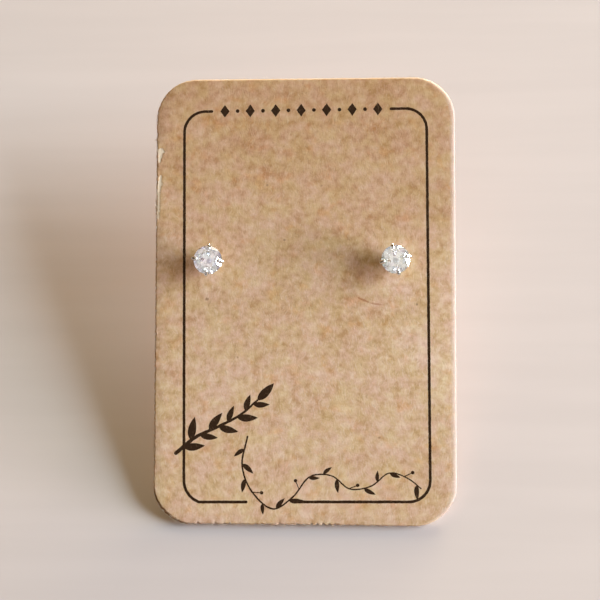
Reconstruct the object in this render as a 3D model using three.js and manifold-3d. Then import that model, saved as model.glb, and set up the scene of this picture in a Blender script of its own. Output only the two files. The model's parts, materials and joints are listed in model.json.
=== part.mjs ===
// A pair of claw-set stud earrings pushed through a display card, each held behind the card by a butterfly clutch.
// Millimetres, +Z up. The card leans on its lower edge and on the tips of the two posts, which stand on Z = 0,
// and its printed front looks up and towards -Y. The origin is the bottom centre of the whole.
import * as THREE from "three";
import { ConvexGeometry } from "three/addons/geometries/ConvexGeometry.js";
import { mergeVertices } from "three/addons/utils/BufferGeometryUtils.js";
import Module from "manifold-3d";

// The card
const cardWidth = 40;
const cardHeight = 59.5;
const cardThickness = 0.8;
const cardCornerRadius = 5.5;
const cardEdgeRounding = 0.3; // where the cutting die pressed the rim
const holeSpacing = 24.7; // between the two posts
const holeHeight = 34.8; // of both posts above the lower edge
const holesToLeft = 0.3; // how far the two holes are punched off the card's middle
const holeClearance = 0.1; // round each post

// The stone, a round brilliant
const stoneDiameter = 3.75;
const tableShare = 0.58; // of the stone's radius, out to the table's corners
const starShare = 0.79; // of the stone's radius, out to the tips of the star facets
const lowerTipShare = 0.25; // of the stone's radius, out to the inner tips of the lower halves
const crownAngle = THREE.MathUtils.degToRad(34.5);
const pavilionAngle = THREE.MathUtils.degToRad(40.75);
const girdleThickness = 0.1;
const mainFacets = 8;

// The setting: post, base, gallery rail and claws, soldered into one piece
const postLength = 11; // from the base's underside to the tip
const postDiameter = 0.8;
const postTipChamfer = 0.15;
const baseDiameter = 1.9;
const baseHeight = 0.45;
const culetClearance = 0.2; // between the stone's point and the base
const clawCount = 4;
const clawDiameter = 0.52;
const clawStandOut = 0.08; // from the girdle to the claw's centreline
const clawShoulder = 0.08; // above the girdle, where the claw starts to bend in
const clawReach = 0.34; // inside the girdle, where the claw ends
const clawRise = 0.36; // above the girdle, where the claw ends
const clawFootShare = 0.8; // of the base's height, where the claw's centreline starts
const railDiameter = 0.34;
const railShare = 0.42; // of the way up from the base to the girdle
const stoneGap = 0.06; // between the stone's girdle and the claws

// The butterfly clutch: one strip of sheet, curled in from both ends to grip the post
const clutchSheet = 0.25;
const clutchCurlRadius = 1.0; // to the middle of the sheet
const clutchCurlSweep = THREE.MathUtils.degToRad(300);
const clutchPlateWidth = 4.4; // along the curls, at the plate's ends
const clutchWaist = 3.0; // along the curls, across the post
const clutchGrip = 0.05; // left between the curls and the post

// How the pieces meet and are turned
const seatGap = 0.05; // between the card and what is pushed against it
const studs = [
  { side: "left", place: -1, headTurn: -6, clutchTurn: 8 },
  { side: "right", place: 1, headTurn: 12, clutchTurn: -11 },
];

// How finely round shapes are cut into flats
const cornerFlats = 14; // round each of the card's corners
const rimFlats = 2; // over each of the card's rounded edges
const holeFlats = 16;
const postFlats = 20;
const clawFlats = 10;
const clawSteps = 10;
const clawTipDetail = 1;
const railSteps = 28;
const railFlats = 7;
const curlFlats = 22;

const stoneRadius = stoneDiameter / 2;
const postRadius = postDiameter / 2;
const baseRadius = baseDiameter / 2;
const clawRadius = clawDiameter / 2;
const clawFootRadius = baseRadius - clawRadius;
const clawGripRadius = stoneRadius + clawStandOut;
const holeRadius = postRadius + holeClearance;
const holeAcross = (place) => (place * holeSpacing) / 2 - holesToLeft;
const crownHeight = stoneRadius * (1 - tableShare) * Math.tan(crownAngle);
const pavilionDepth = stoneRadius * Math.tan(pavilionAngle);
const girdleHeight = baseHeight + culetClearance + pavilionDepth + girdleThickness; // the girdle's upper edge
const postBehindCard = postLength - cardThickness - seatGap;
const postTipRadius = postRadius - postTipChamfer;
const leanAngle = Math.atan2(postBehindCard, holeHeight - postTipRadius - cardEdgeRounding);

const kraft = new THREE.MeshStandardMaterial({ color: 0xc49c70, roughness: 0.95, metalness: 0 });
const steel = new THREE.MeshStandardMaterial({ color: 0xc9cacc, roughness: 0.22, metalness: 1 });
const zirconia = new THREE.MeshStandardMaterial({ color: 0xf2f4f8, roughness: 0.02, metalness: 0 });

const wasm = await Module();
wasm.setup();

// A closed geometry as a solid for joining and cutting.
function solidOf(geometry) {
  const bare = geometry.index ? geometry.toNonIndexed() : geometry.clone();
  bare.deleteAttribute("normal");
  bare.deleteAttribute("uv");
  const merged = mergeVertices(bare, 1e-5);
  return new wasm.Manifold(
    new wasm.Mesh({
      numProp: 3,
      vertProperties: merged.getAttribute("position").array,
      triVerts: new Uint32Array(merged.index.array),
    }),
  );
}

// The solid as a flat-shaded geometry.
function geometryOf(solid) {
  const mesh = solid.getMesh();
  const geometry = new THREE.BufferGeometry();
  geometry.setAttribute("position", new THREE.BufferAttribute(mesh.vertProperties, mesh.numProp));
  geometry.setIndex(new THREE.BufferAttribute(mesh.triVerts, 1));
  const flat = geometry.toNonIndexed();
  flat.computeVertexNormals();
  return flat;
}

function joined(solids) {
  return solids.reduce((whole, piece) => whole.add(piece));
}

// A point on the stone at a facet step round it: whole steps lie on the main facets, halves between them.
function polarPoint(radius, facetStep, z) {
  const angle = (facetStep * 2 * Math.PI) / mainFacets;
  return new THREE.Vector3(radius * Math.cos(angle), radius * Math.sin(angle), z);
}

// The round brilliant, its girdle's upper edge at z = 0. Star and lower tips lie where two main facets meet.
function brilliantGeometry(radius) {
  const scale = radius / stoneRadius;
  const girdle = girdleThickness * scale;
  const tipAlongMain = Math.cos(Math.PI / mainFacets);
  const starHeight = radius * (1 - starShare * tipAlongMain) * Math.tan(crownAngle);
  const lowerTipDepth = girdle + radius * (1 - lowerTipShare * tipAlongMain) * Math.tan(pavilionAngle);
  const corners = [new THREE.Vector3(0, 0, -girdle - pavilionDepth * scale)];
  for (let step = 0; step < mainFacets; step++) {
    corners.push(polarPoint(radius * tableShare, step, crownHeight * scale));
    corners.push(polarPoint(radius * starShare, step + 0.5, starHeight));
    corners.push(polarPoint(radius * lowerTipShare, step + 0.5, -lowerTipDepth));
    for (const z of [0, -girdle]) {
      corners.push(polarPoint(radius, step, z), polarPoint(radius, step + 0.5, z));
    }
  }
  return new ConvexGeometry(corners);
}

// The card, its lower edge at y = 0 and its back at z = 0.
function cardGeometry() {
  const halfWidth = cardWidth / 2;
  const r = cardCornerRadius;
  const outline = new THREE.Shape();
  outline.absarc(halfWidth - r, r, r, -Math.PI / 2, 0);
  outline.absarc(halfWidth - r, cardHeight - r, r, 0, Math.PI / 2);
  outline.absarc(r - halfWidth, cardHeight - r, r, Math.PI / 2, Math.PI);
  outline.absarc(r - halfWidth, r, r, Math.PI, 1.5 * Math.PI);
  const card = new THREE.ExtrudeGeometry(outline, {
    depth: cardThickness - 2 * cardEdgeRounding,
    curveSegments: cornerFlats / 2,
    bevelThickness: cardEdgeRounding,
    bevelSize: cardEdgeRounding,
    bevelOffset: -cardEdgeRounding,
    bevelSegments: rimFlats,
  });
  card.translate(0, 0, cardEdgeRounding);
  const holes = studs.map(({ place }) => {
    const hole = new THREE.CylinderGeometry(holeRadius, holeRadius, 3 * cardThickness, holeFlats);
    hole.rotateX(Math.PI / 2);
    hole.translate(holeAcross(place), holeHeight, cardThickness / 2);
    return solidOf(hole);
  });
  return geometryOf(solidOf(card).subtract(joined(holes)));
}

// The post and the base above it as one turned piece, the base's underside at z = 0.
function turnedPostGeometry() {
  const profile = [
    [0, -postLength],
    [postTipRadius, -postLength],
    [postRadius, postTipChamfer - postLength],
    [postRadius, 0],
    [baseRadius, 0],
    [baseRadius, baseHeight],
    [0, baseHeight],
  ].map(([x, y]) => new THREE.Vector2(x, y));
  return new THREE.LatheGeometry(profile, postFlats).rotateX(Math.PI / 2);
}

// One claw in the XZ plane: it flares from the base to the girdle and bends in over the crown.
function clawGeometry() {
  const path = new THREE.CatmullRomCurve3(
    [
      [clawFootRadius, baseHeight * clawFootShare],
      [clawGripRadius - clawRadius / 2, girdleHeight - 2 * clawRadius],
      [clawGripRadius, girdleHeight + clawShoulder],
      [stoneRadius - clawReach, girdleHeight + clawRise],
    ].map(([x, z]) => new THREE.Vector3(x, 0, z)),
    false,
    "centripetal",
  );
  const section = new THREE.Shape();
  section.absarc(0, 0, clawRadius, 0, 2 * Math.PI);
  return new THREE.ExtrudeGeometry(section, {
    extrudePath: path,
    steps: clawSteps,
    curveSegments: clawFlats / 2,
  });
}

function clawTipGeometry() {
  const tip = new THREE.IcosahedronGeometry(clawRadius, clawTipDetail);
  return tip.translate(stoneRadius - clawReach, 0, girdleHeight + clawRise);
}

// The gallery rail that ties the claws together below the stone.
function railGeometry() {
  const railRadius = clawFootRadius + (clawGripRadius - clawFootRadius) * railShare;
  const railHeight = baseHeight + (girdleHeight - baseHeight) * railShare;
  const rail = new THREE.TorusGeometry(railRadius, railDiameter / 2, railFlats, railSteps);
  return rail.translate(0, 0, railHeight);
}

function settingGeometry() {
  const claw = joined([solidOf(clawGeometry()), solidOf(clawTipGeometry())]);
  const claws = [];
  for (let i = 0; i < clawCount; i++) {
    claws.push(claw.rotate([0, 0, (360 * i) / clawCount]));
  }
  const seat = brilliantGeometry(stoneRadius + stoneGap).translate(0, 0, girdleHeight);
  const metal = joined([solidOf(turnedPostGeometry()), solidOf(railGeometry()), ...claws]);
  return geometryOf(metal.subtract(solidOf(seat)));
}

function stoneGeometry() {
  return brilliantGeometry(stoneRadius).translate(0, 0, girdleHeight);
}

// One side of the clutch's strip in section, from the middle of the plate out and round the curl. The offset is from
// the middle of the sheet. Section x runs across the curls and section y away from the card.
function curlSide(offset) {
  const curlCentre = postRadius + clutchGrip + clutchSheet / 2 + clutchCurlRadius;
  const radius = clutchCurlRadius + offset;
  const side = [];
  for (let i = 0; i <= curlFlats; i++) {
    const angle = (clutchCurlSweep * i) / curlFlats;
    side.push(
      new THREE.Vector2(
        curlCentre + radius * Math.sin(angle),
        clutchSheet / 2 + clutchCurlRadius - radius * Math.cos(angle),
      ),
    );
  }
  return side;
}

// The clutch, its plate's face at z = 0 and its curls behind it.
function clutchGeometry() {
  const outer = curlSide(clutchSheet / 2);
  const inner = curlSide(-clutchSheet / 2).reverse();
  const half = [...outer, ...inner];
  const mirrored = half.map((p) => new THREE.Vector2(-p.x, p.y)).reverse();
  const strip = new THREE.ExtrudeGeometry(new THREE.Shape([...half, ...mirrored]), {
    depth: clutchPlateWidth,
    bevelEnabled: false,
  });
  strip.translate(0, 0, -clutchPlateWidth / 2);
  strip.rotateX(-Math.PI / 2);

  const reach = Math.max(...outer.map((p) => p.x));
  const cutterDepth = 2 * (clutchSheet + 2 * clutchCurlRadius); // well past the curls on both sides
  const wing = clutchPlateWidth / 2;
  const waistControl = clutchWaist - wing; // bends the curve in as far as the waist
  const outline = new THREE.Shape();
  outline.moveTo(-reach, -clutchWaist / 2);
  outline.quadraticCurveTo(-reach, -wing, -reach / 2, -wing);
  outline.quadraticCurveTo(0, -waistControl, reach / 2, -wing);
  outline.quadraticCurveTo(reach, -wing, reach, -clutchWaist / 2);
  outline.lineTo(reach, clutchWaist / 2);
  outline.quadraticCurveTo(reach, wing, reach / 2, wing);
  outline.quadraticCurveTo(0, waistControl, -reach / 2, wing);
  outline.quadraticCurveTo(-reach, wing, -reach, clutchWaist / 2);
  const butterfly = new THREE.ExtrudeGeometry(outline, { depth: 2 * cutterDepth, bevelEnabled: false });
  butterfly.translate(0, 0, -cutterDepth);

  const boreRadius = postRadius + clutchGrip;
  const bore = new THREE.CylinderGeometry(boreRadius, boreRadius, 3 * clutchSheet, postFlats);
  bore.rotateX(Math.PI / 2);
  bore.translate(0, 0, -clutchSheet / 2); // through the plate and clear of the curls' ends
  return geometryOf(solidOf(strip).intersect(solidOf(butterfly)).subtract(solidOf(bore)));
}

function namedMesh(name, geometry, material) {
  const mesh = new THREE.Mesh(geometry, material);
  mesh.name = name;
  return mesh;
}

// Card and studs in the card's own frame: x across it, y up it, z out of its front.
function cardedStuds() {
  const carded = new THREE.Group();
  carded.add(namedMesh("card", cardGeometry(), kraft));
  const setting = settingGeometry();
  const stone = stoneGeometry();
  const clutch = clutchGeometry();
  for (const { side, place, headTurn, clutchTurn } of studs) {
    const head = new THREE.Group();
    head.position.set(holeAcross(place), holeHeight, cardThickness + seatGap);
    head.rotation.z = THREE.MathUtils.degToRad(headTurn);
    head.add(namedMesh(`${side}_setting`, setting, steel));
    head.add(namedMesh(`${side}_stone`, stone, zirconia));
    const back = new THREE.Group();
    back.position.set(holeAcross(place), holeHeight, -seatGap);
    back.rotation.z = THREE.MathUtils.degToRad(clutchTurn);
    back.add(namedMesh(`${side}_clutch`, clutch, steel));
    carded.add(head, back);
  }
  return carded;
}

const leaning = cardedStuds();
leaning.rotation.x = leanAngle;
const extent = new THREE.Box3().setFromObject(leaning, true);
const middle = extent.getCenter(new THREE.Vector3());
leaning.position.set(-middle.x, -middle.y, -extent.min.z);

const studPair = new THREE.Group();
studPair.add(leaning);

export default studPair;
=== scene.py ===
import json
import math
import random

import bmesh
import bpy
from mathutils import Matrix, Vector, noise
from mathutils.geometry import delaunay_2d_cdt

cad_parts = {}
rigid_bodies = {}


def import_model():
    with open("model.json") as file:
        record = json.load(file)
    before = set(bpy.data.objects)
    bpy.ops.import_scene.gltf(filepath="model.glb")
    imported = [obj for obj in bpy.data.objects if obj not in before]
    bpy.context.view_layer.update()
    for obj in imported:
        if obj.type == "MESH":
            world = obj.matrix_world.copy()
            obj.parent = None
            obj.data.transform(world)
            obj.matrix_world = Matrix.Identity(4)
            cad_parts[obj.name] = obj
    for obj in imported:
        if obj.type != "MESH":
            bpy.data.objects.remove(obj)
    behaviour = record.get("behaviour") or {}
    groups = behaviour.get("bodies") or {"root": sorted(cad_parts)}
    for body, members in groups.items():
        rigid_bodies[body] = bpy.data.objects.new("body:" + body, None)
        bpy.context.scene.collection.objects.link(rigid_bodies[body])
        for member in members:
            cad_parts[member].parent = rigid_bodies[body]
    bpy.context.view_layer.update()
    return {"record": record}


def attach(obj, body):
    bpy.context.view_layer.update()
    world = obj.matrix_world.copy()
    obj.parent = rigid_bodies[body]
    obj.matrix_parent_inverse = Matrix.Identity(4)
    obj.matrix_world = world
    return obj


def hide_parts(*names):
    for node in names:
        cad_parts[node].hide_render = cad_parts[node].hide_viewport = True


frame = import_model()
print("Frame loaded")

mm = 0.001  # every size below is in millimetres, and Blender's unit is the metre


def limited(value):
    return max(0.0, min(1.0, value))


def around(count):
    return [2 * math.pi * i / count for i in range(count)]


def onCircle(angle):
    return Vector((math.cos(angle), math.sin(angle)))


def noiseAt(point, fineness, layer):
    return noise.noise(Vector((point.x * fineness, point.y * fineness, layer)))


card = {
    "width": 40.0,
    "height": 59.5,
    "thickness": 0.8,
    "cornerRadius": 5.5,
    "holeSpacing": 24.7,
    "holeHeight": 34.8,
    "holesToLeft": 0.3,
    "holeRadius": 0.5,
    "holeSides": 28,
    "seatGap": 0.05,  # between the card and what is pushed against it
    "rollDepth": 0.3,  # how far down the die has rolled the front's rim over
    "rollWidth": 0.2,  # and how far in
    "rollWidthAtRight": 0.78,
    "rollWidthAtTop": 0.34,
    "rollWidthAtLowerLeft": 0.42,
    "backRoll": 0.3,
    "rollSteps": 5,
    "pointSpacing": 0.16,  # along the outline
    "innerSpacing": 0.9,  # of the points that let the faces wave
    "innerMargin": 1.3,
    "tornSpacing": 0.12,  # of the closer points where the left edge is torn
    "tornFrom": (0.34, 40.2),  # from the left edge, and up the card
    "tornPoints": (9, 88),  # across and up
    "waveDepth": 0.025,
    "cutRoughness": 0.035,
    "raggedness": 0.3,  # of the left and the lower edge
    "tearDepth": 0.035,
    "cornerProud": 0.2,  # the lower left corner is cut a little fuller
    "askew": 0.1,  # the lower edge is cut higher at its left end
    "askewFrom": 15.0,  # across the card, where that starts
    "askewHeight": 9.0,  # up the card, where it has faded out
}

# Where the top ply has come off the left edge, each a line of (across, up, half its width there)
tears = [
    [(-19.72, 49.80, 0.24), (-19.10, 49.86, 0.23), (-18.92, 49.62, 0.13)],
    [(-19.38, 49.70, 0.36), (-19.46, 49.10, 0.30), (-19.50, 48.35, 0.17)],
    [(-19.34, 46.35, 0.15), (-19.44, 45.50, 0.31), (-19.56, 44.60, 0.25), (-19.67, 43.70, 0.27)],
    [(-19.67, 43.70, 0.27), (-19.74, 42.70, 0.30), (-19.72, 41.90, 0.34)]
    + [(-19.64, 41.0, 0.19), (-19.65, 40.6, 0.08)],
]
tornReach = {
    "right": -18.0,
    "bottom": 39.5,
    "steepness": 1.7,
    "fullness": 1.12,
    "noises": ((0.62, 3.1, 4.2), (0.4, 7.7, 1.7)),  # weight, fineness and layer
}

# The card's own frame: x across it, y up it and z out of its printed front, from its lower edge's middle
footMount = next(mount for mount in frame["record"]["mounts"] if mount["name"] == "card_foot")
cardUp = -Vector(footMount["axis"]).normalized()
cardOut = Vector((1, 0, 0)).cross(cardUp)
cardOrigin = Vector(footMount["pos_m"]) - cardOut * card["thickness"] / 2 * mm
leanAngle = math.atan2(cardUp.z, cardUp.y)
cardFrame = Matrix.Translation(cardOrigin) @ Matrix.Rotation(leanAngle, 4, "X") @ Matrix.Scale(mm, 4)

studs = [
    {"side": "left", "place": -1, "headTurn": -6, "clutchTurn": 8},
    {"side": "right", "place": 1, "headTurn": 12, "clutchTurn": -11},
]


def holeAcross(stud):
    return stud["place"] * card["holeSpacing"] / 2 - card["holesToLeft"]


def seatFrame(stud, z, turn):
    seat = Vector((holeAcross(stud), card["holeHeight"], z))
    return cardFrame @ Matrix.Translation(seat) @ Matrix.Rotation(math.radians(turn), 4, "Z")


def headFrame(stud):
    return seatFrame(stud, card["thickness"] + card["seatGap"], stud["headTurn"])


# The clutch's own z points away from the card's back
def clutchFrame(stud):
    return seatFrame(stud, -card["seatGap"], stud["clutchTurn"]) @ Matrix.Rotation(math.pi, 4, "X")


# The camera, given by where it looks on the card and how it stands off the card's normal
camera = {
    "aim": (-0.6, 29.66),
    "distance": 198.9,
    "toRight": 3.36,  # degrees
    "below": 4.25,
    "roll": 0.12,
    "lens": 90.0,
    "sensor": 36.0,
    "clip": (0.001, 10),  # metres
}


def addCamera():
    data = bpy.data.cameras.new("photoCamera")
    data.lens = camera["lens"]
    data.sensor_width = camera["sensor"]
    data.clip_start, data.clip_end = camera["clip"]
    item = bpy.data.objects.new("photoCamera", data)
    bpy.context.scene.collection.objects.link(item)
    stand = cardFrame @ Matrix.Translation((*camera["aim"], card["thickness"]))
    for name, axis in (("toRight", "Y"), ("below", "X"), ("roll", "Z")):
        stand = stand @ Matrix.Rotation(math.radians(camera[name]), 4, axis)
    place, rotation, _ = (stand @ Matrix.Translation((0, 0, camera["distance"]))).decompose()
    item.matrix_world = Matrix.LocRotScale(place, rotation, None)
    bpy.context.scene.camera = item


addCamera()
print("Camera placed")


# Nodes
def addNode(tree, kind, settings=None, inputs=None):
    node = tree.nodes.new(kind)
    for name, value in (settings or {}).items():
        setattr(node, name, value)
    for name, value in (inputs or {}).items():
        if isinstance(value, bpy.types.NodeSocket):
            tree.links.new(value, node.inputs[name])
        else:
            node.inputs[name].default_value = value
    return node


def calc(tree, operation, a, b=0.0):
    return addNode(tree, "ShaderNodeMath", {"operation": operation}, {0: a, 1: b}).outputs[0]


def times(tree, a, b):
    return calc(tree, "MULTIPLY", a, b)


def vectorOf(tree, x=0.0, y=0.0, z=0.0):
    return addNode(tree, "ShaderNodeCombineXYZ", None, {0: x, 1: y, 2: z}).outputs[0]


# A sum gives a vector, and a length, a distance or a dot product gives a number
def vectorCalc(tree, operation, a, b=(0, 0, 0)):
    node = addNode(tree, "ShaderNodeVectorMath", {"operation": operation}, {0: a, 1: b})
    return node.outputs["Vector" if operation == "ADD" else "Value"]


def attribute(tree, name, output="Fac"):
    return addNode(tree, "ShaderNodeAttribute", {"attribute_name": name}).outputs[output]


def spread(tree, value, low, high, toLow=0.0, toHigh=1.0):
    inputs = {"Value": value, "From Min": low, "From Max": high, "To Min": toLow, "To Max": toHigh}
    return addNode(tree, "ShaderNodeMapRange", {"interpolation_type": "SMOOTHSTEP"}, inputs).outputs[0]


def mixColours(tree, share, a, b, blend="MIX"):
    colours = [value if isinstance(value, bpy.types.NodeSocket) else (*value, 1) for value in (a, b)]
    settings = {"data_type": "RGBA", "blend_type": blend}
    return addNode(tree, "ShaderNodeMix", settings, {0: share, 6: colours[0], 7: colours[1]}).outputs[2]


def tinted(tree, share, colour, tint):
    return mixColours(tree, share, colour, tint, "MULTIPLY")


def noiseOf(tree, coords, scale, detail=2.0, roughness=0.5, distortion=0.0):
    inputs = {"Vector": coords, "Scale": scale, "Detail": detail, "Roughness": roughness}
    inputs["Distortion"] = distortion
    return addNode(tree, "ShaderNodeTexNoise", None, inputs).outputs[0]


def mapped(tree, coords, location=(0, 0, 0), turn=0.0, scale=(1, 1, 1), kind="POINT"):
    rotation = (0, 0, math.radians(turn))
    inputs = {"Vector": coords, "Location": location, "Rotation": rotation, "Scale": scale}
    return addNode(tree, "ShaderNodeMapping", {"vector_type": kind}, inputs).outputs[0]


# Object coordinates turned into the card's own frame, in millimetres
def cardCoords(tree):
    coords = addNode(tree, "ShaderNodeTexCoord").outputs["Object"]
    inputs = {"Vector": coords, "Location": cardOrigin, "Rotation": (leanAngle, 0, 0), "Scale": (mm, mm, mm)}
    return addNode(tree, "ShaderNodeMapping", {"vector_type": "TEXTURE"}, inputs).outputs[0]


def newMaterial(name, sockets):
    material = bpy.data.materials.new(name)
    material.use_nodes = True
    tree = material.node_tree
    shader = tree.nodes["Principled BSDF"]
    for label, value in sockets.items():
        shader.inputs[label].default_value = value
    return material, tree, shader


def addBump(tree, shader, height, depth):
    bump = addNode(tree, "ShaderNodeBump", None, {"Height": height, "Distance": depth * mm, "Strength": 1.0})
    tree.links.new(bump.outputs[0], shader.inputs["Normal"])


streak = {"bendFineness": 0.45, "bend": 1.6, "waver": 0.4}


# Thin streaks: noise drawn out along one direction, bent by a slower noise
def streaks(tree, coords, turn, length, width, low, high, shift):
    bend = noiseOf(tree, coords, streak["bendFineness"], 1.0)
    moved = vectorCalc(tree, "ADD", coords, vectorOf(tree, times(tree, bend, streak["bend"]), shift, shift))
    drawn = mapped(tree, moved, turn=turn, scale=(1 / width, 1 / length, 1))
    return spread(tree, noiseOf(tree, drawn, 1.0, 1.0, 0.5, streak["waver"]), low, high)


# Each noise is given by its fineness, detail and roughness, each spread by the values from which to which it
# runs and what it gives there, and each kind of streak by its length, width and spread
kraft = {
    "brown": (0.551, 0.338, 0.178),
    "middle": (0.700, 0.486, 0.318),
    "pale": (0.808, 0.622, 0.455),
    "blotches": (1.02, 3.0, 0.6),
    "clouds": (0.24, 2.0),
    "cloudWeight": 0.44,
    "brownToMiddle": (0.22, 0.54),
    "middleToPale": (0.46, 0.80),
    "pink": (1.022, 0.970, 1.045),
    "yellow": (0.99, 1.004, 0.862),
    "hues": (0.46, 2.0, 0.55),
    "yellowToPink": (0.28, 0.72),
    "orange": (1.0, 0.86, 0.70),
    "oranges": (0.5, 2.0, 0.55),
    "orangeSpread": (0.54, 0.76, 0.0, 0.8),
    "lightFibre": (0.85, 0.69, 0.53),
    "lightStreaks": (0.9, 0.26, 0.63, 0.74),
    "lightTurns": (-12, 24, 80, -58, 48),
    "lightShift": (13.7, 13.7),  # of the first kind's noise, and from each kind to the next
    "lightBlend": 0.30,
    "darkFibre": (0.37, 0.20, 0.09),
    "darkStreaks": (0.8, 0.26, 0.65, 0.77),
    "darkTurns": (8, -38, 64, 98),
    "darkShift": (57.3, 9.1),
    "darkBlend": 0.22,
    # painted shade towards the top, and painted light near the right edge
    "paintedTopShade": (0.803, 0.708, 0.607),
    "shadeHeights": (12.0, 66.0),
    "paintedLightTint": (1.09, 1.12, 1.17),
    "paintedLightAt": (18.5, 25.0),
    "paintedLightReach": (3.0, 15.0),
    "speckColour": (0.20, 0.10, 0.045),
    "speckFineness": 0.4,
    "speckRadius": (0.045, 0.08),
    "speckChoice": (0.88, 0.92),
    "speckBlend": 0.5,
    "markNoise": (3.1, 2.0),
    # painted light: the cut's colour where it faces the light at the right
    "cutEdge": (0.36, 0.305, 0.275),
    "cutPatches": (2.1, 3.0),
    "patchSpread": (0.25, 0.5, 0.7, 1.0),
    # painted shade on the cut at the lower left
    "paintedShadeCut": (0.24, 0.125, 0.06),
    "paintedShadeSpread": (0.05, 0.4, 0.0, 0.9),
    # the torn core's pale colour, also a painted highlight on the top rim
    "paleCoreAndRimHighlight": (0.84, 0.70, 0.53),
    "coreSpread": (0.15, 0.8),
    "grain": (2.0, 3.0, 0.6),
    "grainWeight": 0.9,
    "reliefStreaks": (0.9, 0.24, 0.42, 0.7),
    "reliefWeight": 0.14,
    "grainDepth": 0.022,
    "roughness": 0.88,
    "gloss": 0.2,
}

# Single marks and painted shadows on the card's front: across, up, length, width, turn, strength and colour
marksAndPaintedShadows = [
    (-13.0, 29.8, 0.62, 0.50, 20, 0.62, (0.22, 0.11, 0.05)),
    (-8.9, 22.1, 0.34, 0.26, -30, 0.5, (0.24, 0.12, 0.05)),
    (7.85, 29.62, 2.3, 0.36, -24, 0.7, (0.40, 0.15, 0.06)),
    (9.4, 29.12, 2.3, 0.34, -8, 0.62, (0.42, 0.17, 0.08)),
    # painted shadows beside the tears at the left edge
    (-19.70, 47.70, 0.30, 0.85, 0, 0.75, (0.30, 0.17, 0.07)),
    (-19.74, 45.30, 0.26, 0.95, 4, 0.7, (0.27, 0.16, 0.07)),
    (-19.66, 50.95, 0.34, 0.62, 0, 0.45, (0.30, 0.19, 0.08)),
]
markDepth = 0.4
markEdge = (0.45, 1.1)


def makeKraft():
    sockets = {"Roughness": kraft["roughness"], "Specular IOR Level": kraft["gloss"]}
    material, tree, shader = newMaterial("kraftPaper", sockets)
    coords = cardCoords(tree)

    def cloudsOf(kind, place=None):
        return noiseOf(tree, mapped(tree, coords, place) if place else coords, *kraft[kind])

    cloud = calc(tree, "SUBTRACT", cloudsOf("clouds", (5, 9, 2)), 0.5)
    level = calc(tree, "ADD", cloudsOf("blotches"), times(tree, cloud, kraft["cloudWeight"]))
    colour = mixColours(tree, spread(tree, level, *kraft["brownToMiddle"]), kraft["brown"], kraft["middle"])
    colour = mixColours(tree, spread(tree, level, *kraft["middleToPale"]), colour, kraft["pale"])
    # yellow, pink and orange clouds in the pulp
    hue = spread(tree, cloudsOf("hues", (31, 7, 3)), *kraft["yellowToPink"])
    colour = tinted(tree, 1.0, colour, mixColours(tree, hue, kraft["yellow"], kraft["pink"]))
    orange = spread(tree, cloudsOf("oranges", (3, 43, 8)), *kraft["orangeSpread"])
    colour = tinted(tree, orange, colour, kraft["orange"])
    # fibres pressed into the sheet
    for tone in ("light", "dark"):
        first, step = kraft[tone + "Shift"]
        for i, turn in enumerate(kraft[tone + "Turns"]):
            mask = streaks(tree, coords, turn, *kraft[tone + "Streaks"], first + step * i)
            colour = mixColours(tree, times(tree, mask, kraft[tone + "Blend"]), colour, kraft[tone + "Fibre"])
    # painted shade towards the sheet's top, and painted light, paler and cooler, near the middle of its right
    # edge
    upward = addNode(tree, "ShaderNodeSeparateXYZ", None, {0: coords}).outputs[1]
    colour = tinted(tree, spread(tree, upward, *kraft["shadeHeights"]), colour, kraft["paintedTopShade"])
    away = vectorCalc(tree, "DISTANCE", coords, (*kraft["paintedLightAt"], 0))
    colour = tinted(tree, spread(tree, away, *kraft["paintedLightReach"], 1.0, 0.0), colour, kraft["paintedLightTint"])
    # a few specks of bark
    inputs = {"Vector": coords, "Scale": kraft["speckFineness"], "Randomness": 1.0}
    speck = addNode(tree, "ShaderNodeTexVoronoi", None, inputs).outputs
    chosen = addNode(tree, "ShaderNodeSeparateColor", None, {0: speck["Color"]}).outputs[0]
    spot = spread(tree, speck["Distance"], *kraft["speckRadius"], 1.0, 0.0)
    spot = times(tree, spot, spread(tree, chosen, *kraft["speckChoice"]))
    colour = mixColours(tree, times(tree, spot, kraft["speckBlend"]), colour, kraft["speckColour"])
    # single marks: specks, a reddish fibre, and painted shadows beside the left edge's tears
    ragged = calc(tree, "SUBTRACT", cloudsOf("markNoise"), 0.5)
    for across, up, length, width, turn, strength, shade in marksAndPaintedShadows:
        size = (length / 2, width / 2, markDepth)
        local = mapped(tree, coords, (across, up, card["thickness"]), turn, size, "TEXTURE")
        radius = calc(tree, "ADD", vectorCalc(tree, "LENGTH", local), ragged)
        colour = mixColours(tree, spread(tree, radius, *markEdge, strength, 0.0), colour, shade)
    # the cut edge: painted light where it faces the right, painted shade at the lower left
    patches = spread(tree, cloudsOf("cutPatches"), *kraft["patchSpread"])
    colour = mixColours(tree, times(tree, attribute(tree, "cutEdge"), patches), colour, kraft["cutEdge"])
    # painted shade: the cut at the lower left, which faces away from the light, is darkened
    dark = spread(tree, attribute(tree, "darkEdge"), *kraft["paintedShadeSpread"])
    colour = mixColours(tree, dark, colour, kraft["paintedShadeCut"])
    # the pale core where the left edge is torn, also painted as a highlight along the lit top rim
    paleCoreAndRimHighlight = spread(tree, attribute(tree, "torn"), *kraft["coreSpread"])
    colour = mixColours(tree, paleCoreAndRimHighlight, colour, kraft["paleCoreAndRimHighlight"])
    tree.links.new(colour, shader.inputs["Base Color"])
    relief = times(tree, streaks(tree, coords, 12, *kraft["reliefStreaks"], 3.3), kraft["reliefWeight"])
    height = calc(tree, "ADD", times(tree, cloudsOf("grain"), kraft["grainWeight"]), relief)
    addBump(tree, shader, height, kraft["grainDepth"])
    return material


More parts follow.
